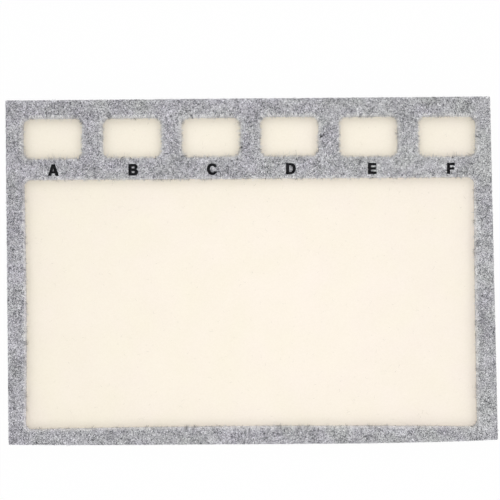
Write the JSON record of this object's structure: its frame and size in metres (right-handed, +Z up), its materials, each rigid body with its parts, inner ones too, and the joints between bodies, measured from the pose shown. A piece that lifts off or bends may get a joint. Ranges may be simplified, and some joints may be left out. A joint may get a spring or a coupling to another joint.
{
  "type": "bead mat",
  "caption": "Flat mat for bead work: a grey felt frame on a soft cream pad makes a row of small lettered bead wells behind one wide work well, with a thin felt base.",
  "frame": {"origin": "middle of the underside, on the table", "axes": "+X to the right along the long side, +Y to the back where the small wells are, +Z up out of the wells"},
  "size_m": [0.297, 0.21, 0.0064],
  "materials": {
    "grey_felt": "needled grey marl felt of light and dark fibres, matt",
    "cream_pad": "close napped cream pad cloth, matt",
    "glue_film": "milky hot-melt film, satin",
    "letter_film": "matt black heat-pressed film"
  },
  "bodies": {
    "root": {"felt_base": "grey_felt", "base_glue_film": "glue_film", "bead_pad": "cream_pad", "frame_glue_film": "glue_film", "felt_frame": "grey_felt"}
  },
  "joints": []
}
